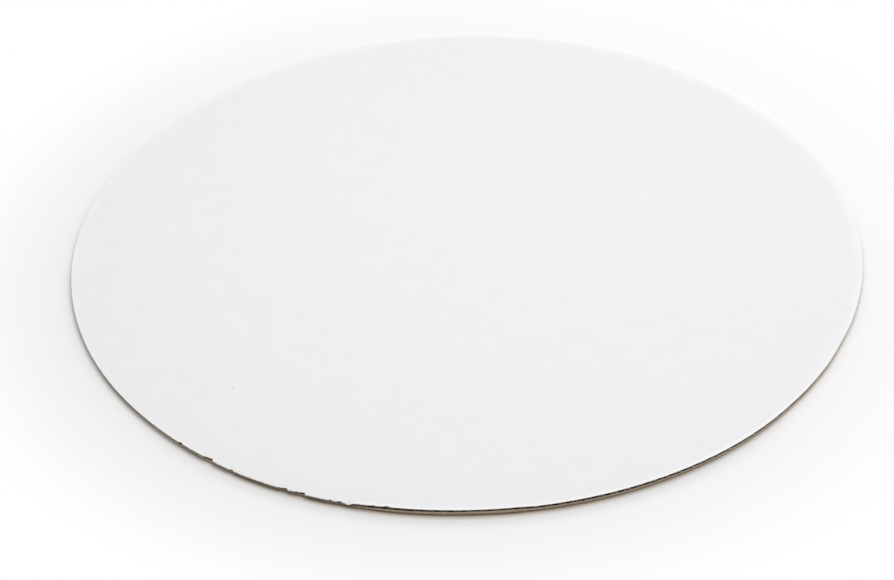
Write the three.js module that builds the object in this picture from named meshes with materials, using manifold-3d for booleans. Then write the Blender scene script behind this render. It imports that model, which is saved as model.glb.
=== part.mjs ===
// A round corrugated cake board, made of three papers glued together.
// Millimetres, +Z up. The origin is the centre of the underside, and the flutes run along Y.

import * as THREE from 'three';
import { mergeVertices } from 'three/addons/utils/BufferGeometryUtils.js';
import Module from 'manifold-3d';

// Driving dimensions
const BOARD_DIAMETER = 406.4;
const TOP_LINER_THICKNESS = 0.3;
const BOTTOM_LINER_THICKNESS = 0.3;

// The fluted paper: its height is the clear distance between the two liners
const FLUTE_HEIGHT = 2.6;
const FLUTE_PITCH = 6.1;
const MEDIUM_THICKNESS = 0.25;
const GLUED_FLAT_WIDTH = 0.7;
const CREST_OFFSET = -1.7; // from the board's centre line to the crest nearest to it
const FLANK_STEPS = 4;

// Sides of the polygon that stands for the round die, and of the arc that a bite follows
const RIM_SIDES = 240;
const BITE_SIDES = 96;

// Bites torn out of the white paper's rim, on the front left: degrees anticlockwise from +X
const RIM_BITES = [
  { at: -133.2, wide: 3.4, deep: 0.5 },
  { at: -127.6, wide: 4.0, deep: 0.8 },
  { at: -123.9, wide: 3.2, deep: 0.6 },
  { at: -118.4, wide: 4.2, deep: 0.5 },
  { at: -114.2, wide: 11.0, deep: 0.9 },
  { at: -108.4, wide: 4.4, deep: 0.8 },
  { at: -103.7, wide: 3.0, deep: 0.5 },
  { at: -101.3, wide: 3.2, deep: 0.6 },
];

// The cutting tools reach this far past what they cut
const TOOL_OVERRUN = 5;

const wasm = await Module();
wasm.setup();

// A closed three.js geometry as a solid that can be cut
function toSolid(geometry) {
  const bare = geometry.clone();
  bare.deleteAttribute('normal');
  bare.deleteAttribute('uv');
  const merged = mergeVertices(bare);
  return new wasm.Manifold(new wasm.Mesh({
    numProp: 3,
    vertProperties: new Float32Array(merged.attributes.position.array),
    triVerts: new Uint32Array(merged.index.array),
  }));
}

// A cut solid as a three.js geometry again, with one flat normal to each face
function toGeometry(solid) {
  const mesh = solid.getMesh();
  const indexed = new THREE.BufferGeometry();
  indexed.setAttribute('position', new THREE.BufferAttribute(mesh.vertProperties, 3));
  indexed.setIndex(new THREE.BufferAttribute(mesh.triVerts, 1));
  const geometry = indexed.toNonIndexed();
  geometry.computeVertexNormals();
  return geometry;
}

// An upright disc from one height to another
function disc(radius, sides, bottom, top) {
  const geometry = new THREE.CylinderGeometry(radius, radius, top - bottom, sides);
  geometry.rotateX(Math.PI / 2);
  geometry.translate(0, 0, (bottom + top) / 2);
  return geometry;
}

// The centre line of the fluted paper: glued flats on the two liners, joined by cosine flanks.
// Each point has its place across the flutes, its height from the middle, and its slope.
function fluteCentreLine(reach) {
  const swing = (FLUTE_HEIGHT - MEDIUM_THICKNESS) / 2;
  const flank = FLUTE_PITCH / 2 - GLUED_FLAT_WIDTH;
  const halfFlutes = 2 * Math.ceil(2 * reach / FLUTE_PITCH);
  const line = [];
  for (let half = -halfFlutes; half < halfFlutes; half += 1) {
    const side = half % 2 === 0 ? 1 : -1;
    const flatEnd = CREST_OFFSET + half * FLUTE_PITCH / 2 + GLUED_FLAT_WIDTH / 2;
    for (let step = 0; step <= FLANK_STEPS; step += 1) {
      const turn = Math.PI * step / FLANK_STEPS;
      line.push({
        x: flatEnd + flank * step / FLANK_STEPS,
        z: side * swing * Math.cos(turn),
        slope: -side * swing * Math.sin(turn) * Math.PI / flank,
      });
    }
  }
  return line.filter((point) => Math.abs(point.x) < reach);
}

// The centre line moved half a paper's thickness to one side, square to the paper
function fluteFace(line, side) {
  return line.map(({ x, z, slope }) => {
    const offset = side * MEDIUM_THICKNESS / 2 / Math.hypot(1, slope);
    return new THREE.Vector2(x - offset * slope, z + offset);
  });
}

// The fluted paper, drawn as a wavy section, carried along the flutes and die-cut round
function flutedMediumGeometry() {
  const radius = BOARD_DIAMETER / 2;
  const line = fluteCentreLine(radius + TOOL_OVERRUN);
  const outline = [...fluteFace(line, -1), ...fluteFace(line, 1).reverse()];
  const length = BOARD_DIAMETER + 2 * TOOL_OVERRUN;
  const sheet = new THREE.ExtrudeGeometry(new THREE.Shape(outline), {
    depth: length,
    bevelEnabled: false,
  });
  sheet.rotateX(Math.PI / 2);
  sheet.translate(0, length / 2, FLUTE_HEIGHT / 2);
  const die = disc(radius, RIM_SIDES, -TOOL_OVERRUN, FLUTE_HEIGHT + TOOL_OVERRUN);
  return toGeometry(toSolid(sheet).intersect(toSolid(die)));
}

// The round tool that takes one bite: its arc passes through both corners and the deepest point
function biteTool({ at, wide, deep }) {
  const radius = (wide * wide / 4 + deep * deep) / (2 * deep);
  const angle = THREE.MathUtils.degToRad(at);
  const reach = BOARD_DIAMETER / 2 - deep + radius;
  const tool = disc(radius, BITE_SIDES, -TOOL_OVERRUN, TOP_LINER_THICKNESS + TOOL_OVERRUN);
  tool.translate(reach * Math.cos(angle), reach * Math.sin(angle), 0);
  return tool;
}

// The white paper, with its bites
function topLinerGeometry() {
  let liner = toSolid(disc(BOARD_DIAMETER / 2, RIM_SIDES, 0, TOP_LINER_THICKNESS));
  for (const bite of RIM_BITES) {
    liner = liner.subtract(toSolid(biteTool(bite)));
  }
  return toGeometry(liner);
}

// The kraft paper underneath
function bottomLinerGeometry() {
  return disc(BOARD_DIAMETER / 2, RIM_SIDES, 0, BOTTOM_LINER_THICKNESS);
}

// One paper of the board, with its underside at the height given
function paper(name, geometry, height, color, roughness) {
  const material = new THREE.MeshStandardMaterial({ color, roughness, metalness: 0 });
  const mesh = new THREE.Mesh(geometry, material);
  mesh.name = name;
  mesh.position.z = height;
  return mesh;
}

const mediumSeat = BOTTOM_LINER_THICKNESS;
const topLinerSeat = mediumSeat + FLUTE_HEIGHT;

const board = new THREE.Group();
board.name = 'cake_board';
board.add(
  paper('bottom_liner', bottomLinerGeometry(), 0, 0xb08d66, 0.85),
  paper('fluted_medium', flutedMediumGeometry(), mediumSeat, 0x94795c, 0.9),
  paper('top_liner', topLinerGeometry(), topLinerSeat, 0xf1f1f3, 0.55),
);

export default board;
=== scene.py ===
"""A round corrugated cake board: white top paper, fluted brown paper and kraft underside.

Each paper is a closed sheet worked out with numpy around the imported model's own sizes.
"""

import math
from typing import NamedTuple

import bpy
import numpy as np
from bpy.props import FloatProperty, FloatVectorProperty, IntProperty, PointerProperty
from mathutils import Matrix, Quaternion, Vector


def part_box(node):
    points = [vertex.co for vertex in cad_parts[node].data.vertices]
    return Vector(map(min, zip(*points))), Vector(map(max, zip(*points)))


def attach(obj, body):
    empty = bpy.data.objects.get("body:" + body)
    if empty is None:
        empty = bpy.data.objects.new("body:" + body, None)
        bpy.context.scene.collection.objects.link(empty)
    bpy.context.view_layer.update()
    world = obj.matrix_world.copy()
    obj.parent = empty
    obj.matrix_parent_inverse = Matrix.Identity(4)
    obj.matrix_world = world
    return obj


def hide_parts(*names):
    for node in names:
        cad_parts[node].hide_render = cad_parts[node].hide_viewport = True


bl_info = {
    "name": "Cake Board",
    "version": (1, 0, 0),
    "blender": (4, 5, 0),
    "location": "View3D > Sidebar > Cake Board",
    "description": "Builds a round corrugated cake board from its three papers",
    "category": "Add Mesh",
}

MM = 0.001

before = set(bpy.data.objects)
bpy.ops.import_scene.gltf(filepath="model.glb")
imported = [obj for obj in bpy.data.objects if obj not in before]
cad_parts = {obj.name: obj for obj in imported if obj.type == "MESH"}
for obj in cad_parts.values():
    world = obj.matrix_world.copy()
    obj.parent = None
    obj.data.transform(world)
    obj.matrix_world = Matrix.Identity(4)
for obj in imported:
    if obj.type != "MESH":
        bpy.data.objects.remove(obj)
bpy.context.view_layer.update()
TOP_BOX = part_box("top_liner")
UNDER_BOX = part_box("bottom_liner")

# The width of the picture that the camera frames, in pixels
PICTURE_WIDTH = 894


class Bite(NamedTuple):
    """A bite torn out of the white paper's rim."""

    angle: float
    width: float
    depth: float
    lean: float


class Rim(NamedTuple):
    """How the cut rim lies at one place round the board."""

    angle: float
    drift: float
    white_roll: float
    kraft_roll: float
    kraft_step: float = 0.0


# Angles are degrees anticlockwise from +X, and lengths are metres.
# The lean of a bite is the place of its deepest point, from -1 at one end to 1 at the other.
BITES = (
    Bite(-133.0, 2.4 * MM, 0.75 * MM, 0.2),
    Bite(-127.9, 6.0 * MM, 1.30 * MM, 0.75),
    Bite(-123.9, 2.8 * MM, 0.70 * MM, 0.3),
    Bite(-116.0, 6.2 * MM, 1.05 * MM, 0.8),
    Bite(-113.8, 8.6 * MM, 1.25 * MM, 0.85),
    Bite(-109.0, 2.2 * MM, 0.60 * MM, 0.0),
    Bite(-107.8, 3.2 * MM, 0.75 * MM, 0.3),
    Bite(-103.1, 2.0 * MM, 0.35 * MM, 0.2),
    Bite(-101.3, 4.2 * MM, 0.60 * MM, -0.2),
)

# The drift moves the rim out from the round, a roll bends a liner towards the fluting, and
# the step is how far the kraft paper reaches past the white paper
RIMS = (
    Rim(-180.0, -0.15 * MM, 0.40 * MM, 1.60 * MM, -0.50 * MM),
    Rim(-165.0, -0.25 * MM, 0.40 * MM, 1.60 * MM, -0.40 * MM),
    Rim(-150.0, -0.30 * MM, 0.60 * MM, 1.30 * MM),
    Rim(-140.0, -0.30 * MM, 0.55 * MM, 1.35 * MM),
    Rim(-133.5, -0.10 * MM, 0.50 * MM, 1.40 * MM),
    Rim(-128.0, -0.10 * MM, 0.60 * MM, 1.40 * MM, -0.10 * MM),
    Rim(-125.5, 0.25 * MM, 0.85 * MM, 1.20 * MM, -0.35 * MM),
    Rim(-122.0, 0.40 * MM, 0.95 * MM, 1.15 * MM, -0.55 * MM),
    Rim(-115.0, 0.35 * MM, 0.95 * MM, 1.15 * MM, -0.55 * MM),
    Rim(-107.0, 0.30 * MM, 0.85 * MM, 1.20 * MM, -0.50 * MM),
    Rim(-106.6, 0.50 * MM, 1.40 * MM, 0.60 * MM, -0.55 * MM),
    Rim(-106.3, 0.50 * MM, 1.40 * MM, 0.60 * MM, -0.55 * MM),
    Rim(-105.9, 0.10 * MM, 0.55 * MM, 0.90 * MM, -0.10 * MM),
    Rim(-103.7, -0.15 * MM, 0.30 * MM, 1.40 * MM, 0.20 * MM),
    Rim(-102.0, -0.25 * MM, 0.15 * MM, 1.75 * MM, 0.50 * MM),
    Rim(-97.0, -0.40 * MM, 0.15 * MM, 1.90 * MM, 0.60 * MM),
    Rim(-90.0, -0.45 * MM, 0.10 * MM, 2.05 * MM, 0.42 * MM),
    Rim(-84.0, -0.40 * MM, 0.10 * MM, 2.05 * MM, 0.70 * MM),
    Rim(-82.0, 0.05 * MM, 0.20 * MM, 1.65 * MM, 0.25 * MM),
    Rim(-70.0, 0.45 * MM, 0.15 * MM, 1.55 * MM, 0.20 * MM),
    Rim(-64.0, 0.60 * MM, 0.15 * MM, 1.30 * MM),
    Rim(-55.0, 0.85 * MM, 0.15 * MM, 1.30 * MM),
    Rim(-46.0, 0.70 * MM, 0.15 * MM, 1.30 * MM),
    Rim(-40.0, 0.15 * MM, 0.25 * MM, 1.30 * MM),
    Rim(-31.0, -0.05 * MM, 0.50 * MM, 1.30 * MM),
    Rim(-25.0, -0.50 * MM, 0.45 * MM, 1.60 * MM),
    Rim(-20.0, -0.20 * MM, 0.45 * MM, 1.60 * MM, -0.30 * MM),
    Rim(0.0, 0.00 * MM, 0.45 * MM, 1.60 * MM, -0.50 * MM),
    Rim(20.0, 0.00 * MM, 0.40 * MM, 1.60 * MM, -0.40 * MM),
    Rim(40.0, 0.00 * MM, 0.60 * MM, 1.20 * MM),
    Rim(60.0, 0.00 * MM, 0.30 * MM, 1.30 * MM),
    Rim(90.0, 0.00 * MM, 0.15 * MM, 1.40 * MM),
    Rim(120.0, 0.00 * MM, 0.30 * MM, 1.30 * MM),
    Rim(140.0, 0.00 * MM, 0.35 * MM, 1.50 * MM, -0.20 * MM),
    Rim(160.0, 0.00 * MM, 0.40 * MM, 1.60 * MM, -0.50 * MM),
)

# How far in from the rim the rings of the papers lie, from the middle outwards
FACE_RINGS = np.array([
    180, 150, 120, 90, 60, 40, 25, 15, 10, 7, 5, 4, 3.2, 2.6, 2.1, 1.7, 1.35, 1.05, 0.8,
    0.6, 0.42, 0.28, 0.15,
]) * MM
INNER_RINGS = np.array([150, 90, 40, 15, 7, 4, 2.6, 1.7, 1.2, 0.8, 0.5, 0.3, 0.12]) * MM

# How far in from their cut ends the flutes have points
LONG_STEPS = np.array([0, 0.15, 0.4, 0.7, 1.0, 1.4, 2, 3, 4.5, 7, 12, 30, 60, 110]) * MM

# The torn stretch of the rim in degrees, and how much closer together its points lie
TORN_STRETCH = (-136.0, -100.0)
TORN_DENSITY = 2.2

# The frayed stretch in degrees, from its middle to either side, and how deep the fraying goes
FRAY_PLACE = -118.0
FRAY_SPREAD = 28.0
FRAY_DEPTH = 0.12 * MM

# A liner sinks between the crests no further in from the rim than this
SINK_REACH = 16 * MM

# The fluted paper: clear of the rim at its first and last flute, clear of the liners' cut edges,
# torn back by a share of each bite, a bevel on its cut ends and a glue line at its crests
SIDE_CLEARANCE = 0.6 * MM
CUT_CLEARANCE = 0.05 * MM
TORN_SHARE = 0.6
CUT_BEVEL = 0.04 * MM
GLUE_LINE = 0.01 * MM

# How far in from a cut end the brown papers show the colour of the cut
FLUTING_CUT_REACH = 0.25 * MM
# The kraft's paler cut end is spread wide over its curled rim band, partly as painted light that
# brightens the band
KRAFT_CUT_AND_LIGHT_REACH = 1.2 * MM

# A painted highlight runs along the front of the white paper's cut edge, from one Y to another,
# between two distances from its rim, and painted light lifts the shade where it is rolled down,
# fully where it is rolled as steeply as this slope
HIGHLIGHT_FROM_Y, HIGHLIGHT_FULL_Y = -40 * MM, -160 * MM
HIGHLIGHT_FROM_RIM, HIGHLIGHT_FULL_RIM = 2.2 * MM, 0.8 * MM
ROLL_LIFT_SLOPE = 0.22

# The middle of the small scuff, and half its width and length
SCUFF_PLACE = (-115.3 * MM, -109.5 * MM)
SCUFF_SIZE = (0.5 * MM, 2.2 * MM)

# Edges that bend by more than this are drawn sharp
SHARP_ANGLE = math.radians(50)

# The stage in metres: half the floor, the lamp, where past the rim the floor turns white, and
# how far forward the painted shadow along its front rim begins
FLOOR_HALF = 6.0
LAMP_PLACE = (0.11, 0.10, 0.8)
LAMP_SIZE = 0.8
WHITE_FROM, WHITE_FULL = -0.003, 0.078
SHADOW_FRONT_FROM, SHADOW_FRONT_FULL = 0.13, 0.20


def display(red, green, blue):
    """The linear colour of a display colour given in steps of 255."""
    shares = np.array([red, green, blue]) / 255
    low = shares / 12.92
    high = ((shares + 0.055) / 1.055) ** 2.4
    return tuple(np.where(shares <= 0.04045, low, high).tolist())


def length_setting(name, description, default):
    """A setting that is a length in metres."""
    return FloatProperty(
        name=name, description=description, default=default, subtype="DISTANCE", unit="LENGTH"
    )


def angle_setting(name, description, degrees):
    """A setting that is an angle: its default is given in degrees and kept in radians."""
    angle = math.radians(degrees)
    return FloatProperty(
        name=name, description=description, default=angle, subtype="ANGLE", unit="ROTATION"
    )


def share_setting(name, description, default, most=1.0):
    """A setting that is a share, from none to the most."""
    return FloatProperty(
        name=name, description=description, default=default, min=0.0, max=most, subtype="FACTOR"
    )


def colour_setting(name, description, shown):
    """A setting that is a colour: its default is given as a display shows it."""
    linear = display(*shown)
    return FloatVectorProperty(
        name=name, description=description, default=linear, min=0.0, max=1.0, subtype="COLOR"
    )


class CakeBoardShape(bpy.types.PropertyGroup):
    """Sizes of the three papers."""

    radius: length_setting("Rim radius", "Radius of the die-cut circle", UNDER_BOX[1].x)
    flute_pitch: length_setting(
        "Flute pitch", "Distance from one crest of the fluted paper to the next", 6.1 * MM
    )
    crest_offset: length_setting(
        "Crest offset", "Distance from the centre line to the crest nearest to it", -1.7 * MM
    )
    glued_flat: length_setting(
        "Glued flat", "Width of the flat where a crest is glued to a liner", 0.7 * MM
    )
    medium_thickness: length_setting(
        "Fluting thickness", "Thickness of the fluted paper", 0.25 * MM
    )
    medium_recess: length_setting(
        "Fluting recess",
        "How far the fluted paper's cut end lies behind the liners' cut edges",
        0.12 * MM,
    )
    edge_round: length_setting(
        "Edge rounding", "Radius that the knife leaves on a paper's cut edge", 0.09 * MM
    )
    washboard: length_setting("Washboard", "How far a liner sinks between two crests", 0.03 * MM)
    white_reach: length_setting(
        "White roll reach",
        "How far in from the rim the white paper starts to roll down",
        8.0 * MM,
    )
    kraft_reach: length_setting(
        "Kraft roll reach", "How far in from the rim the kraft paper starts to roll up", 0.8 * MM
    )
    rim_steps: IntProperty(
        name="Rim steps",
        description="Points round the rim of a liner",
        default=1800,
        min=360,
    )
    flute_steps: IntProperty(
        name="Flute steps",
        description="Points along one flute's wave",
        default=20,
        min=8,
    )


class CakeBoardWear(bpy.types.PropertyGroup):
    """Wear of the cut rim."""

    bite_share: share_setting(
        "Bites", "Depth of the torn bites, as a share of what the board shows", 1.0, most=1.5
    )
    roll_share: share_setting(
        "Rolls",
        "Depth of the liners' rolled rims, as a share of what the board shows",
        1.0,
        most=1.1,
    )
    drift_share: share_setting(
        "Drift",
        "How far the rim is out of round, as a share of what the board shows",
        1.0,
        most=1.5,
    )
    crush: FloatProperty(
        name="Crush",
        description="How much narrower the fluting's crests get where it is squeezed",
        default=4.0,
        min=0.0,
        max=8.0,
    )
    raggedness: length_setting("Raggedness", "How far the cut edges wander in and out", 0.05 * MM)


class CakeBoardColours(bpy.types.PropertyGroup):
    """Colours of the papers."""

    white: colour_setting("White paper", "Colour of the white paper", (241, 241, 243))
    # Painted highlight: white laid along the front cut edge and over the rolled-down rim in place
    # of light
    highlight_white: colour_setting(
        "Painted highlight",
        "Colour of the white paper where the knife pressed and bared it",
        (252, 252, 252),
    )
    fluting: colour_setting("Fluting", "Colour of the fluted paper", (172, 157, 138))
    fluting_cut: colour_setting(
        "Fluting, cut", "Colour of the fluted paper's cut end", (226, 213, 196)
    )
    kraft: colour_setting("Kraft", "Colour of the kraft paper underneath", (206, 182, 154))


class CakeBoardStage(bpy.types.PropertyGroup):
    """Camera, floor and light."""

    focal_pixels: FloatProperty(
        name="Focal length",
        description="Focal length in pixels of the picture",
        default=2911.0,
    )
    distance: length_setting(
        "Camera distance", "From the centre of the white side to the camera", 1.5012
    )
    elevation: angle_setting("Camera elevation", "Angle of the camera above the floor", 36.51)
    roll: angle_setting("Camera roll", "Turn of the camera about its own line of sight", -2.0037)
    aim: FloatVectorProperty(
        name="Aim",
        description="Point of the white side that the middle of the picture shows",
        default=(-10.084 * MM, -35.495 * MM),
        size=2,
        subtype="XYZ",
        unit="LENGTH",
    )
    key_power: FloatProperty(
        name="Key light",
        description="Power of the soft lamp above the board",
        default=2.85,
        unit="POWER",
    )
    sky: FloatProperty(
        name="Sky light",
        description="Strength of the light from the bright side of the room",
        default=1.15,
        min=0.0,
    )
    dark_side: share_setting(
        "Dark side", "Light from the camera's side, as a share of the bright side's", 0.12
    )
    # Painted shade and light: the floor's colour goes from darker at the front left to lighter at
    # the back right, as the light falls
    floor_shaded_left: colour_setting(
        "Floor, front left",
        "Colour of the floor near the board at its front left",
        (249, 249, 249),
    )
    floor_lit_right: colour_setting(
        "Floor, back right",
        "Colour of the floor near the board at its back right",
        (251, 251, 251),
    )
    # Painted shadow: the floor is coloured dimmer and warmer under the front rim, in place of its
    # shade and of light bounced off the brown paper
    painted_contact_shadow: colour_setting(
        "Painted shadow under the rim",
        "Colour of the floor right under the front rim, warmed by the brown paper",
        (212, 202, 186),
    )
    painted_shadow_reach: length_setting(
        "Contact reach",
        "How far the warm colour under the front rim reaches out from it",
        4.0 * MM,
    )
    # Painted shade: how far the floor's colour is darkened out past the warm painted shadow
    painted_shade_share: share_setting(
        "Contact shade",
        "How much the floor darkens three times as far out as the warm colour",
        0.14,
    )


class CakeBoardSettings(bpy.types.PropertyGroup):
    """All settings of the cake board."""

    shape: PointerProperty(type=CakeBoardShape)
    wear: PointerProperty(type=CakeBoardWear)
    colours: PointerProperty(type=CakeBoardColours)
    stage: PointerProperty(type=CakeBoardStage)


def rim_offset(angles, place):
    """Distance along the rim, at the unit radius, from the place in degrees to each angle."""
    apart = angles - math.radians(place)
    return (apart + math.pi) % (2 * math.pi) - math.pi


def wander(angles, shortest, longest, count, seed):
    """A smooth line round the rim that keeps mostly between -1 and 1.

    It is the sum of cosines of whole numbers of waves round the circle, with seeded phases and
    sizes, over the square root of their count. The waves' lengths are in radians of the rim.
    """
    draw = np.random.default_rng(seed)
    waves = np.round(np.geomspace(2 * math.pi / longest, 2 * math.pi / shortest, count))
    phases = draw.uniform(0, 2 * math.pi, count)
    sizes = draw.uniform(0.5, 1.0, count)
    turns = np.multiply.outer(angles, waves) + phases
    return (np.cos(turns) * sizes).sum(axis=-1) / math.sqrt(count)


def bite_depth(angles, settings):
    """How far the bites cut into the rim: each is a wedge that peaks at its lean."""
    radius = settings.shape.radius
    depth = np.zeros_like(angles)
    for bite in BITES:
        across = rim_offset(angles, bite.angle) * radius / (bite.width / 2)
        rising = (across + 1) / (bite.lean + 1)
        falling = (1 - across) / (1 - bite.lean)
        wedge = np.clip(np.minimum(rising, falling), 0, 1)
        depth = np.maximum(depth, settings.wear.bite_share * bite.depth * wedge)
    return depth


def rim_values(angles, label):
    """One column of the rim table, drawn as straight lines from place to place."""
    places = np.radians([rim.angle for rim in RIMS])
    values = [getattr(rim, label) for rim in RIMS]
    return np.interp(angles, places, values, period=2 * math.pi)


def rolled(depth, reach, inset):
    """How far a face is rolled at an inset, which fades as a square inwards, and its slope."""
    left = np.clip(1 - inset / reach, 0, 1)
    return depth * left**2, 2 * depth / reach * left


def crest_phase(x, settings):
    """The turn of the fluting's wave at a place across the flutes: 0 on a crest, pi in a trough.

    The place is an array, or a value of a finish.
    """
    shape = settings.shape
    return (x - shape.crest_offset) * (2 * math.pi / shape.flute_pitch)


def liner_sink(x, inset, settings):
    """How far a liner sinks between crests near the rim: half of one minus the wave's cosine."""
    near = np.clip(1 - inset / SINK_REACH, 0, 1)
    return settings.shape.washboard * near * (1 - np.cos(crest_phase(x, settings))) / 2


def white_face(x, angles, inset, settings):
    """Height of the white paper's upper face, and how steeply it falls to the rim."""
    depth = settings.wear.roll_share * rim_values(angles, "white_roll")
    fall, slope = rolled(depth, settings.shape.white_reach, inset)
    return TOP_BOX[1].z - liner_sink(x, inset, settings) - fall, slope


def kraft_face(x, angles, inset, settings):
    """Height of the kraft paper's under face, and how steeply it rises to the rim."""
    depth = settings.wear.roll_share * rim_values(angles, "kraft_roll")
    rise, slope = rolled(depth, settings.shape.kraft_reach, inset)
    sink = liner_sink(x + settings.shape.flute_pitch / 2, inset, settings)
    return UNDER_BOX[0].z + sink + rise, slope


def ceiling(x, angles, inset, settings):
    """Height of the white paper's inner face: no lower than the inner corner of its cut end."""
    thickness = TOP_BOX[1].z - TOP_BOX[0].z
    height, slope = white_face(x, angles, inset, settings)
    cut_height, cut_slope = white_face(x, angles, 0.0, settings)
    corner = cut_height - thickness / np.hypot(1, cut_slope)
    return np.maximum(height - thickness * np.hypot(1, slope), corner)


def ground(x, angles, inset, settings):
    """Height of the kraft paper's inner face: no higher than the inner corner of its cut end."""
    thickness = UNDER_BOX[1].z - UNDER_BOX[0].z
    height, slope = kraft_face(x, angles, inset, settings)
    cut_height, cut_slope = kraft_face(x, angles, 0.0, settings)
    corner = cut_height + thickness / np.hypot(1, cut_slope)
    return np.minimum(height + thickness * np.hypot(1, slope), corner)


def grid_quads(rows, columns, wrap_rows=False, wrap_columns=False):
    """Quads of a grid of points that are numbered row by row."""
    row = np.arange(rows if wrap_rows else rows - 1)[:, None]
    column = np.arange(columns if wrap_columns else columns - 1)[None, :]
    next_row = (row + 1) % rows
    next_column = (column + 1) % columns
    corners = (
        row * columns + column,
        row * columns + next_column,
        next_row * columns + next_column,
        next_row * columns + column,
    )
    return np.stack([np.broadcast_to(c, corners[0].shape).ravel() for c in corners], axis=-1)


def signed_volume(points, faces):
    """Six times the volume inside the faces, each taken as a fan from its first corner."""
    total = 0.0
    for group in faces:
        for second in range(1, group.shape[1] - 1):
            a, b, c = (points[group[:, i]] for i in (0, second, second + 1))
            total += np.einsum("ij,ij->", a, np.cross(b, c))
    return total


def make_piece(name, points, faces, attributes, material):
    """A mesh object at the origin, its faces turned outwards, with its point attributes."""
    if signed_volume(points, faces) < 0:
        faces = [group[:, ::-1] for group in faces]
    mesh = bpy.data.meshes.new(name)
    corners = np.concatenate([group.ravel() for group in faces])
    lengths = np.concatenate([np.full(len(group), group.shape[1]) for group in faces])
    starts = np.concatenate([[0], np.cumsum(lengths)[:-1]])
    mesh.vertices.add(len(points))
    mesh.vertices.foreach_set("co", points.astype(np.float32).ravel())
    mesh.loops.add(len(corners))
    mesh.loops.foreach_set("vertex_index", corners.astype(np.int32))
    mesh.polygons.add(len(lengths))
    mesh.polygons.foreach_set("loop_start", starts.astype(np.int32))
    mesh.polygons.foreach_set("use_smooth", np.ones(len(lengths), bool))
    for label, values in attributes.items():
        layer = mesh.attributes.new(label, "FLOAT", "POINT")
        layer.data.foreach_set("value", values.astype(np.float32).ravel())
    mesh.update(calc_edges=True)
    if mesh.validate():
        raise RuntimeError(f"the mesh of {name} had faults")
    mesh.set_sharp_from_angle(angle=SHARP_ANGLE)
    mesh.materials.append(material)
    piece = bpy.data.objects.new(name, mesh)
    bpy.context.scene.collection.objects.link(piece)
    return piece


def round_sheet(face, side, insets, depths, rim, settings):
    """A closed round sheet: a section carried round the rim, closed at both poles.

    A point of the section has an inset from the rim and a depth below the sheet's outer face.
    It lies on the face at that inset, moved by its depth square to the face, and its radius
    is the rim's radius times one minus the inset over the board's. Returns the points and
    the faces; the last two points are the poles.
    """
    angles = rim_angles(settings)
    steps = len(angles)
    shares = 1 - insets[:, None] / settings.shape.radius
    height, slope = face(
        rim * shares * np.cos(angles), angles[None, :], insets[:, None], settings
    )
    lean = np.hypot(1, slope)
    moved = insets[:, None] + depths[:, None] * slope / lean
    radii = rim * (1 - moved / settings.shape.radius)
    heights = height + side * depths[:, None] / lean
    ring_points = np.stack(
        [radii * np.cos(angles), radii * np.sin(angles), heights], axis=-1
    ).reshape(-1, 3)
    rows = len(insets)
    upper_pole = rows * steps
    poles = np.array([[0, 0, heights[0].mean()], [0, 0, heights[-1].mean()]])
    points = np.concatenate([ring_points, poles])
    here = np.arange(steps)
    after = (here + 1) % steps
    upper_fan = np.stack([np.full(steps, upper_pole), here, after], axis=-1)
    last = (rows - 1) * steps
    under_fan = np.stack([np.full(steps, upper_pole + 1), last + after, last + here], axis=-1)
    quads = grid_quads(rows, steps, wrap_columns=True)[:, ::-1]
    return points, [quads, upper_fan, under_fan]


def along_section(values, settings):
    """A number of the section's points at all points of a round sheet, poles included."""
    spread = np.repeat(values, settings.shape.rim_steps)
    return np.concatenate([spread, [values[0], values[-1]]])


def rim_angles(settings):
    """The angles of the points round a liner's rim, closest together along the bites."""
    places = np.radians([-180.0, *TORN_STRETCH, 180.0])
    shares = np.cumsum(np.concatenate([[0.0], np.diff(places) * (1.0, TORN_DENSITY, 1.0)]))
    steps = np.arange(settings.shape.rim_steps) / settings.shape.rim_steps
    return np.interp(steps * shares[-1], shares, places)


def paper_section(outer_rings, inner_rings, thickness, rounding):
    """The section of one liner as insets from the rim and depths below its outer face.

    Its cut edge is a quarter circle, a straight wall and another quarter circle.
    """
    turns = np.linspace(0, math.pi / 2, 4)
    arc_inset = rounding * (1 - np.sin(turns))
    arc_depth = rounding * (1 - np.cos(turns))
    insets = np.concatenate([outer_rings, arc_inset, arc_inset[::-1], inner_rings[::-1]])
    depths = np.concatenate([
        np.zeros(len(outer_rings)),
        arc_depth,
        thickness - arc_depth[::-1],
        np.full(len(inner_rings), thickness),
    ])
    return insets, depths


def rim_radius(angles, settings):
    """The radius of the white paper at each angle, drift included."""
    return settings.shape.radius + settings.wear.drift_share * rim_values(angles, "drift")


def kraft_radius(angles, settings):
    """The radius of the kraft paper at each angle."""
    step = settings.wear.drift_share * rim_values(angles, "kraft_step")
    return rim_radius(angles, settings) + step


def ragged_rim(rim, settings, seed, worn):
    """The radius of a cut edge: a smooth rim's radius less the raggedness of the cut.

    The edge wanders on two scales, frays along the worn stretch and never passes the rim.
    """
    angles = rim_angles(settings)
    long_way = wander(angles, shortest=0.02, longest=0.4, count=30, seed=seed)
    short_way = wander(angles, shortest=0.006, longest=0.02, count=60, seed=seed + 1)
    ragged = settings.wear.raggedness * (long_way + short_way) / 2
    clear = settings.wear.raggedness * 2
    apart = np.abs(rim_offset(angles, FRAY_PLACE)) / math.radians(FRAY_SPREAD)
    torn = np.clip(1 - apart, 0, 1) * FRAY_DEPTH * short_way * worn
    return rim - clear + np.minimum(ragged + torn, clear)


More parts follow.
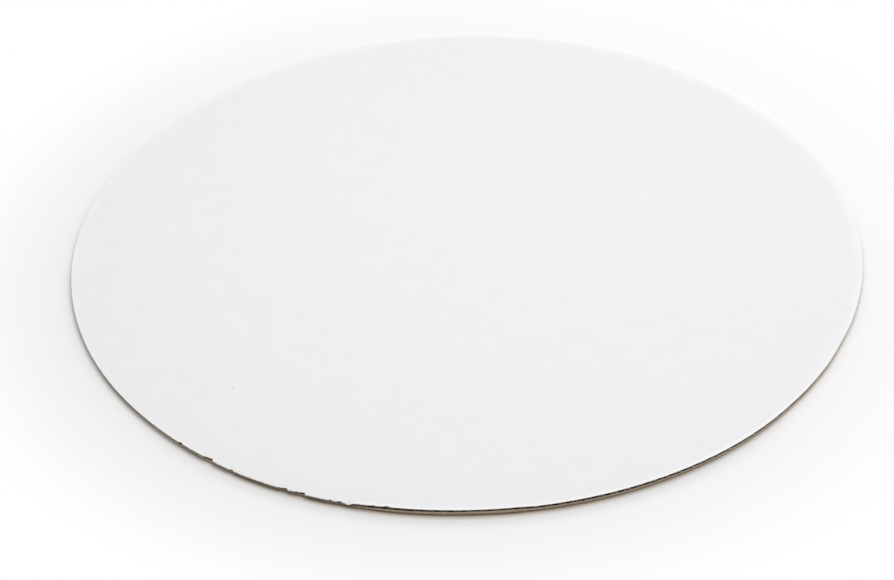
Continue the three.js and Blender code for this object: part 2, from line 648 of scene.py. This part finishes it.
class Value:
    """A number or colour that varies over a surface, on which operators add Math nodes."""

    def __init__(self, finish, socket):
        self.finish = finish
        self.socket = socket

    def math(self, operation, first, second=0.0):
        """The output of one Math node."""
        made = self.finish.node("ShaderNodeMath", {"operation": operation}, {0: first, 1: second})
        return made["Value"]

    def __add__(self, other):
        return self.math("ADD", self, other)

    def __radd__(self, other):
        return self.math("ADD", other, self)

    def __sub__(self, other):
        return self.math("SUBTRACT", self, other)

    def __rsub__(self, other):
        return self.math("SUBTRACT", other, self)

    def __mul__(self, other):
        return self.math("MULTIPLY", self, other)

    def __rmul__(self, other):
        return self.math("MULTIPLY", other, self)

    def __truediv__(self, other):
        return self.math("DIVIDE", self, other)

    def __pow__(self, other):
        return self.math("POWER", self, other)

    def cosine(self):
        """The cosine of this number of radians."""
        return self.math("COSINE", self)

    def larger(self, other):
        """The larger of this number and another."""
        return self.math("MAXIMUM", self, other)

    def ramp(self, low, high):
        """0 up to low, 1 from high on, and smooth between them."""
        settings = {"interpolation_type": "SMOOTHSTEP", "clamp": True}
        values = {"Value": self, "From Min": low, "From Max": high}
        return self.finish.node("ShaderNodeMapRange", settings, values)["Result"]


class Outputs:
    """The outputs of one node, by name or number."""

    def __init__(self, finish, node):
        self.finish = finish
        self.node = node

    def __getitem__(self, key):
        return Value(self.finish, self.node.outputs[key])


class Finish:
    """A node tree that is written from Python expressions."""

    def __init__(self, tree):
        self.tree = tree
        tree.nodes.clear()

    def node(self, kind, settings=None, values=None):
        """One node: its settings are set first, then its sockets get values or links."""
        made = self.tree.nodes.new(kind)
        for label, setting in (settings or {}).items():
            setattr(made, label, setting)
        for key, value in (values or {}).items():
            if isinstance(value, Value):
                self.tree.links.new(value.socket, made.inputs[key])
            else:
                made.inputs[key].default_value = value
        return Outputs(self, made)

    def mix(self, factor, first, second):
        """The colour that lies the given share of the way from the first to the second."""
        opaque = [c if isinstance(c, Value) else (*c, 1.0) for c in (first, second)]
        values = {0: factor, 6: opaque[0], 7: opaque[1]}
        return self.node("ShaderNodeMix", {"data_type": "RGBA"}, values)[2]

    def object_place(self):
        """The place on the object, in metres."""
        return self.node("ShaderNodeTexCoord")["Object"]

    def parts(self, vector):
        """The three numbers of a vector."""
        split = self.node("ShaderNodeSeparateXYZ", values={0: vector})
        return split["X"], split["Y"], split["Z"]

    def attribute(self, label):
        """A number stored at the mesh's points."""
        return self.node("ShaderNodeAttribute", {"attribute_name": label})["Fac"]

    def noise(self, place, stretch, scale, detail=3.0, roughness=0.55):
        """Noise on stretched coordinates, between 0 and 1, with this many cells to the metre."""
        mapped = self.node("ShaderNodeMapping", values={"Vector": place, "Scale": stretch})
        values = {
            "Vector": mapped["Vector"],
            "Scale": scale,
            "Detail": detail,
            "Roughness": roughness,
        }
        return self.node("ShaderNodeTexNoise", values=values)["Fac"]

    def surface(self, colour, roughness, height, distance, **constants):
        """The shader of a paper: colour, roughness and bump vary, and the rest is constant."""
        bump = self.node(
            "ShaderNodeBump", values={"Strength": 1.0, "Distance": distance, "Height": height}
        )
        values = {"Base Color": colour, "Roughness": roughness, "Normal": bump["Normal"]}
        values.update(constants)
        shader = self.node("ShaderNodeBsdfPrincipled", values=values)
        self.node("ShaderNodeOutputMaterial", values={"Surface": shader["BSDF"]})


def new_finish(name):
    """A new material and the finish that writes its nodes."""
    material = bpy.data.materials.new(name)
    material.use_nodes = True
    return material, Finish(material.node_tree)


def scaled(colour, share):
    """A colour made lighter or darker."""
    return tuple(min(1.0, channel * share) for channel in colour)


def white_paper(settings):
    """White machine-finished paper: faint clouds and fibres, a painted highlight along the front
    of its cut edge and painted light where it is rolled down, with one small scuff on its front
    left.
    """
    material, finish = new_finish("white_paper")
    colours = settings.colours
    place = finish.object_place()
    x, y, _ = finish.parts(place)
    clouds = finish.noise(place, (1, 1, 1), 90, 2.0)
    formation = finish.noise(place, (0.6, 1, 1), 620, 4.0, 0.65)
    fibres = finish.noise(place, (0.25, 1, 1), 2600, 3.0, 0.6)
    wave = crest_phase(x, settings).cosine()
    dull = scaled(colours.white, 0.985)
    mottle = 0.5 * clouds + 0.3 * formation + 0.2 * fibres
    face = finish.mix(mottle.ramp(0.62, 0.38), tuple(colours.white), dull)
    # Painted highlight along the front cut edge, and painted light that lifts the shade of the
    # rolled-down rim
    front_highlight = y.ramp(HIGHLIGHT_FROM_Y, HIGHLIGHT_FULL_Y)
    edge = front_highlight * finish.attribute("from_rim").ramp(HIGHLIGHT_FROM_RIM, HIGHLIGHT_FULL_RIM)
    painted_light = edge.larger(finish.attribute("rolled").ramp(0.0, ROLL_LIFT_SLOPE))
    highlighted = finish.mix(painted_light, face, tuple(colours.highlight_white))
    across = (x - SCUFF_PLACE[0]) / SCUFF_SIZE[0]
    along = (y - SCUFF_PLACE[1]) / SCUFF_SIZE[1]
    scuff = (across * across + along * along).ramp(1.0, 0.2)
    scuffed = finish.mix(0.3 * scuff, highlighted, tuple(colours.fluting))
    into_paper = finish.attribute("paper_depth").ramp(0.75, 1.0)
    colour = finish.mix(into_paper, scuffed, tuple(colours.fluting))
    roughness = 0.5 + 0.12 * formation + 0.1 * into_paper
    height = 0.5 * formation + 0.35 * fibres + 0.12 * wave
    finish.surface(colour, roughness, height, 0.03 * MM, **{"Specular IOR Level": 0.4})
    return material


def fluting_paper(settings):
    """Rough brown recycled paper with dark and pale fibres, paler where the knife cut it."""
    material, finish = new_finish("fluting_paper")
    colours = settings.colours
    place = finish.object_place()
    clouds = finish.noise(place, (1, 0.3, 1), 260, 3.0)
    fibres = finish.noise(place, (1, 0.15, 1), 3200, 3.0, 0.65)
    specks = finish.noise(place, (1, 0.4, 1), 1500, 2.0, 0.5).ramp(0.66, 0.74)
    dark = scaled(colours.fluting, 0.72)
    pale = scaled(colours.fluting, 1.18)
    body = finish.mix((0.5 * clouds + 0.5 * fibres).ramp(0.35, 0.65), dark, pale)
    flecked = finish.mix(0.5 * specks, body, scaled(colours.fluting, 0.45))
    cut = finish.attribute("cut_end")
    colour = finish.mix(cut * (0.55 + 0.6 * fibres), flecked, tuple(colours.fluting_cut))
    roughness = 0.82 + 0.12 * fibres
    height = 0.6 * fibres + 0.4 * clouds
    finish.surface(colour, roughness, height, 0.05 * MM, **{"Specular IOR Level": 0.25})
    return material


def kraft_paper(settings):
    """Brown kraft paper: long fibres across the flutes, soft clouds and faint flute stripes of
    painted shade.
    """
    material, finish = new_finish("kraft_paper")
    colours = settings.colours
    place = finish.object_place()
    x, _, _ = finish.parts(place)
    clouds = finish.noise(place, (0.5, 1, 1), 110, 4.0, 0.6)
    fibres = finish.noise(place, (0.12, 1, 1), 2400, 4.0, 0.7)
    shives = finish.noise(place, (0.2, 1, 1), 1100, 1.0, 0.4).ramp(0.70, 0.78)
    hairs = finish.noise(place, (1, 0.16, 1), 1300, 1.0, 0.4).ramp(0.70, 0.76)
    wave = crest_phase(x, settings).cosine()
    dark = scaled(colours.kraft, 0.84)
    pale = scaled(colours.kraft, 1.12)
    # The wave adds faint stripes of painted washboard shade along the flutes
    tone_and_stripe_shade = 0.45 * clouds + 0.5 * fibres + 0.03 * wave
    body = finish.mix(tone_and_stripe_shade.ramp(0.32, 0.64), dark, pale)
    browned = finish.mix(0.55 * shives, body, scaled(colours.kraft, 0.5))
    flecked = finish.mix(0.4 * hairs, browned, scaled(colours.kraft, 1.4))
    # Paler cut end, spread over the curled rim band partly as painted light that brightens it
    edge = finish.attribute("cut_end")
    colour = finish.mix(0.45 * edge, flecked, tuple(colours.fluting_cut))
    roughness = 0.74 + 0.14 * fibres
    height = 0.55 * fibres + 0.3 * clouds + 0.1 * wave
    finish.surface(colour, roughness, height, 0.05 * MM, **{"Specular IOR Level": 0.3})
    return material


def build_top_paper(settings):
    """The white paper: a round sheet with its bites, rolled down along parts of its rim."""
    thickness = TOP_BOX[1].z - TOP_BOX[0].z
    insets, depths = paper_section(
        FACE_RINGS, INNER_RINGS, thickness, settings.shape.edge_round
    )
    angles = rim_angles(settings)
    smooth_rim = rim_radius(angles, settings) - bite_depth(angles, settings)
    rim = ragged_rim(smooth_rim, settings, seed=11, worn=1.0)
    points, faces = round_sheet(white_face, -1, insets, depths, rim, settings)
    _, slope = white_face(0.0, angles[None, :], insets[:, None], settings)
    attributes = {
        "paper_depth": along_section(depths / thickness, settings),
        "from_rim": along_section(insets, settings),
        "rolled": np.append(slope.ravel(), [0.0, 0.0]),
    }
    piece = make_piece("white_top_paper", points, faces, attributes, white_paper(settings))
    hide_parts("top_liner")
    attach(piece, "root")


def build_under_paper(settings):
    """The kraft paper: a round sheet whose rim rolls up where the knife dragged it."""
    thickness = UNDER_BOX[1].z - UNDER_BOX[0].z
    insets, depths = paper_section(
        FACE_RINGS, INNER_RINGS, thickness, settings.shape.edge_round
    )
    rim = ragged_rim(kraft_radius(rim_angles(settings), settings), settings, seed=23, worn=0.4)
    points, faces = round_sheet(kraft_face, 1, insets, depths, rim, settings)
    cut = np.clip(1 - insets / KRAFT_CUT_AND_LIGHT_REACH, 0, 1)
    attributes = {"cut_end": along_section(cut, settings)}
    piece = make_piece("kraft_under_paper", points, faces, attributes, kraft_paper(settings))
    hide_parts("bottom_liner")
    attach(piece, "root")


def wave_height(x, settings):
    """Height of the fluting's centre line between -1 and 1, and its slope per metre.

    It is flat on each crest and trough and follows a cosine on the flanks between them.
    """
    shape = settings.shape
    half = shape.flute_pitch / 2
    flank = half - shape.glued_flat
    from_crest = (x - shape.crest_offset + half) % shape.flute_pitch - half
    along = np.clip((np.abs(from_crest) - shape.glued_flat / 2) / flank, 0, 1)
    height = np.cos(math.pi * along)
    slope = -np.sin(math.pi * along) * math.pi / flank * np.sign(from_crest)
    return height, slope


def flute_stations(settings):
    """Places across the flutes, evenly spaced and just short of the rim at both ends."""
    shape = settings.shape
    reach = shape.radius - SIDE_CLEARANCE
    step = shape.flute_pitch / shape.flute_steps
    return np.linspace(-reach, reach, int(2 * reach / step))


def build_fluted_paper(settings):
    """The fluted paper: one thick wavy ribbon whose ends follow the round cut.

    The centre line lies at a share of the way from the ground to the ceiling. The share is
    (1 + wave) / 2, to a power that grows where the gap is squeezed. The two faces lie half
    a thickness to either side of the centre line, square to it.
    """
    shape = settings.shape
    stations = flute_stations(settings)
    clear_height = TOP_BOX[0].z - UNDER_BOX[1].z
    wave, wave_slope = wave_height(stations, settings)
    shares = 1 - LONG_STEPS / shape.radius
    shares = np.concatenate([-shares, shares[::-1]])
    bevel = np.zeros(len(shares))
    bevel[[0, -1]] = CUT_BEVEL
    loop_share = np.concatenate([shares, [1.0], shares[::-1], [-1.0]])
    loop_pull = np.concatenate([bevel, [0.0], bevel, [0.0]])
    loop_side = np.concatenate([np.ones(len(shares)), [0], -np.ones(len(shares)), [0]])
    x = np.broadcast_to(stations, (len(loop_share), len(stations)))
    low, high = fluting_room(x, fluting_place(x, loop_share, loop_pull, settings), settings)
    room = high - low - shape.medium_thickness
    bend = 1 + settings.wear.crush * (1 - (high - low) / clear_height)
    upright = (1 + wave) / 2
    steep = room * bend * upright ** (bend - 1) * wave_slope / 2
    offset = loop_side[:, None] * shape.medium_thickness / 2 / np.hypot(1, steep)
    z = (low + high) / 2 + room * (upright**bend - 0.5) + offset
    x = x - offset * steep
    y = fluting_place(x, loop_share, loop_pull, settings)
    points = np.stack([x, y, z], axis=-1)
    rows, columns = x.shape
    quads = grid_quads(rows, columns, wrap_rows=True)
    first_cap = (np.arange(rows) * columns)[None, :]
    last_cap = first_cap[:, ::-1] + columns - 1
    cut = np.clip(1 - (1 - np.abs(loop_share)) * shape.radius / FLUTING_CUT_REACH, 0, 1)
    cut_end = np.broadcast_to(cut[:, None], x.shape)
    piece = make_piece(
        "fluted_paper",
        points.reshape(-1, 3),
        [quads, first_cap, last_cap],
        {"cut_end": cut_end},
        fluting_paper(settings),
    )
    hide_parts("fluted_medium")
    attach(piece, "root")


def fluting_place(x, shares, pull, settings):
    """How far along its flute each point lies: a share of half the rim's chord, less the pull."""
    rim = fluting_rim(x, shares, settings)
    chord = np.sqrt(np.clip(rim**2 - x**2, 0, None))
    return shares[:, None] * chord - np.sign(shares)[:, None] * pull[:, None]


def fluting_room(x, y, settings):
    """The heights between which the fluted paper lies at each place."""
    angles = np.arctan2(y, x)
    white_rim = rim_radius(angles, settings) - bite_depth(angles, settings)
    kraft_rim = kraft_radius(angles, settings)
    radius = settings.shape.radius
    place = np.hypot(x, y)
    low = ground(x, angles, radius * (1 - place / kraft_rim), settings)
    high = ceiling(x, angles, radius * (1 - place / white_rim), settings)
    return low + GLUE_LINE, high - GLUE_LINE


def fluting_rim(x, shares, settings):
    """The radius of the fluted paper's cut end, behind the liners and torn back under bites."""
    shape = settings.shape
    side = np.where(shares < 0, -1.0, 1.0)[:, None]
    chord = np.sqrt(np.clip(shape.radius**2 - x**2, 0, None))
    angles = np.arctan2(side * chord, x)
    torn = TORN_SHARE * bite_depth(angles, settings)
    wandering = wander(angles, shortest=0.006, longest=0.05, count=40, seed=37)
    ragged = np.maximum(settings.wear.raggedness * wandering + CUT_CLEARANCE, 0)
    back = shape.medium_recess + torn + ragged
    return np.minimum(rim_radius(angles, settings), kraft_radius(angles, settings)) - back


def aim_camera(settings):
    """The camera at the picture's own angle."""
    stage = settings.stage
    data = bpy.data.cameras.new("camera")
    data.sensor_width = 36.0
    data.lens = stage.focal_pixels * data.sensor_width / PICTURE_WIDTH
    data.clip_start = 0.05
    data.clip_end = 50.0
    camera = bpy.data.objects.new("camera", data)
    bpy.context.scene.collection.objects.link(camera)
    top = TOP_BOX[1].z
    back = Vector((0.0, -math.cos(stage.elevation), math.sin(stage.elevation)))
    camera.location = back * stage.distance + Vector((0.0, 0.0, top))
    sight = Vector((stage.aim[0], stage.aim[1], top)) - camera.location
    camera.rotation_mode = "QUATERNION"
    roll = Quaternion((0.0, 0.0, 1.0), stage.roll)
    camera.rotation_quaternion = sight.to_track_quat("-Z", "Y") @ roll
    bpy.context.scene.camera = camera


def seen_directly(finish):
    """1 on rays from the camera and on mirror and clear rays that carry the view on."""
    path = finish.node("ShaderNodeLightPath")
    seen = path["Is Camera Ray"].larger(path["Is Glossy Ray"])
    return seen.larger(path["Is Transmission Ray"])


def light_sky(settings):
    """A soft sky, bright at the back right and dim on the camera's side, seen as plain white."""
    world = bpy.data.worlds.new("sky")
    world.use_nodes = True
    bpy.context.scene.world = world
    finish = Finish(world.node_tree)
    stage = settings.stage
    right, back, _ = finish.parts(finish.object_place())
    bright_side = (0.3 * right + 0.95 * back).ramp(-0.45, 0.45)
    glow = stage.sky * (stage.dark_side + (1 - stage.dark_side) * bright_side)
    seen = seen_directly(finish)
    strength = glow * (1 - seen) + seen
    sky = finish.node(
        "ShaderNodeBackground", values={"Color": (1, 1, 1, 1), "Strength": strength}
    )
    finish.node("ShaderNodeOutputWorld", values={"Surface": sky["Background"]})


def floor_finish(settings):
    """A pale sweep that brightens to white away from the board and keeps its shadow.

    Its colour carries a painted shadow: dimmer and warmer close to the front rim.
    """
    material, finish = new_finish("floor")
    shape = settings.shape
    stage = settings.stage
    x, y, _ = finish.parts(finish.object_place())
    from_centre = (x * x + y * y) ** 0.5
    away = from_centre.ramp(shape.radius + WHITE_FROM, shape.radius + WHITE_FULL)
    # Painted shade and light: the floor is coloured darker at the front left and lighter at the
    # back right
    side = (0.95 * x + 0.15 * y).ramp(-0.25, 0.25)
    colour = finish.mix(side, tuple(stage.floor_shaded_left), tuple(stage.floor_lit_right))
    # Painted shadow under the front rim: the floor's colour is darkened, then warmed as if by
    # light bounced off the brown paper
    front = (-1 * y).ramp(SHADOW_FRONT_FROM, SHADOW_FRONT_FULL)
    painted_shade = front * (1 - from_centre.ramp(shape.radius, shape.radius + 3 * stage.painted_shadow_reach))
    colour = finish.mix(stage.painted_shade_share * painted_shade, colour, (0.0, 0.0, 0.0))
    warmed = front * (1 - from_centre.ramp(shape.radius, shape.radius + stage.painted_shadow_reach))
    colour = finish.mix(warmed, colour, tuple(stage.painted_contact_shadow))
    diffuse = finish.node("ShaderNodeBsdfDiffuse", values={"Color": colour})
    white = finish.node("ShaderNodeEmission", values={"Color": (1, 1, 1, 1), "Strength": 1.0})
    values = {0: away * seen_directly(finish), 1: diffuse["BSDF"], 2: white["Emission"]}
    lit = finish.node("ShaderNodeMixShader", values=values)
    finish.node("ShaderNodeOutputMaterial", values={"Surface": lit["Shader"]})
    return material


def lay_floor(settings):
    """A wide flat floor that the board lies on."""
    signs = ((-1, -1), (1, -1), (1, 1), (-1, 1))
    corners = [(x * FLOOR_HALF, y * FLOOR_HALF, 0.0) for x, y in signs]
    mesh = bpy.data.meshes.new("floor")
    mesh.from_pydata(corners, [], [(0, 1, 2, 3)])
    mesh.materials.append(floor_finish(settings))
    floor = bpy.data.objects.new("floor", mesh)
    bpy.context.scene.collection.objects.link(floor)


def hang_key_light(settings):
    """A soft lamp above the board."""
    data = bpy.data.lights.new("key", "AREA")
    data.shape = "DISK"
    data.size = LAMP_SIZE
    data.energy = settings.stage.key_power
    lamp = bpy.data.objects.new("key", data)
    lamp.location = LAMP_PLACE
    lamp.rotation_mode = "QUATERNION"
    lamp.rotation_quaternion = (-lamp.location).to_track_quat("-Z", "Y")
    bpy.context.scene.collection.objects.link(lamp)


class CAKEBOARD_OT_top_paper(bpy.types.Operator):
    """Build the white paper that the cake stands on"""

    bl_idname = "cake_board.top_paper"
    bl_label = "White Top Paper"

    def execute(self, context):
        build_top_paper(context.scene.cake_board)
        return {"FINISHED"}


class CAKEBOARD_OT_fluted_paper(bpy.types.Operator):
    """Build the fluted paper between the two liners"""

    bl_idname = "cake_board.fluted_paper"
    bl_label = "Fluted Paper"

    def execute(self, context):
        build_fluted_paper(context.scene.cake_board)
        return {"FINISHED"}


class CAKEBOARD_OT_under_paper(bpy.types.Operator):
    """Build the kraft paper underneath"""

    bl_idname = "cake_board.under_paper"
    bl_label = "Kraft Under Paper"

    def execute(self, context):
        build_under_paper(context.scene.cake_board)
        return {"FINISHED"}


class CAKEBOARD_OT_stage(bpy.types.Operator):
    """Set up the camera, the floor and the light"""

    bl_idname = "cake_board.stage"
    bl_label = "Stage"

    def execute(self, context):
        settings = context.scene.cake_board
        context.scene.view_settings.view_transform = "Standard"
        aim_camera(settings)
        light_sky(settings)
        lay_floor(settings)
        hang_key_light(settings)
        return {"FINISHED"}


class CAKEBOARD_PT_panel(bpy.types.Panel):
    """The cake board's settings and steps"""

    bl_idname = "CAKEBOARD_PT_panel"
    bl_label = "Cake Board"
    bl_space_type = "VIEW_3D"
    bl_region_type = "UI"
    bl_category = "Cake Board"

    def draw(self, context):
        settings = context.scene.cake_board
        for group in (settings.shape, settings.wear, settings.colours, settings.stage):
            box = self.layout.box()
            for label in group.__annotations__:
                box.prop(group, label)
        for step in STEPS:
            self.layout.operator(step.bl_idname)


STEPS = (
    CAKEBOARD_OT_stage,
    CAKEBOARD_OT_under_paper,
    CAKEBOARD_OT_fluted_paper,
    CAKEBOARD_OT_top_paper,
)
CLASSES = (
    CakeBoardShape,
    CakeBoardWear,
    CakeBoardColours,
    CakeBoardStage,
    CakeBoardSettings,
    *STEPS,
    CAKEBOARD_PT_panel,
)


def register():
    """Adds the settings, the steps and the panel."""
    for each in CLASSES:
        bpy.utils.register_class(each)
    bpy.types.Scene.cake_board = PointerProperty(type=CakeBoardSettings)


def unregister():
    """Takes the settings, the steps and the panel away again."""
    del bpy.types.Scene.cake_board
    for each in reversed(CLASSES):
        bpy.utils.unregister_class(each)


def main():
    """Builds the stage and then the board, step by step."""
    register()
    bpy.ops.cake_board.stage()
    bpy.ops.cake_board.under_paper()
    bpy.ops.cake_board.fluted_paper()
    bpy.ops.cake_board.top_paper()


if __name__ == "__main__":
    main()
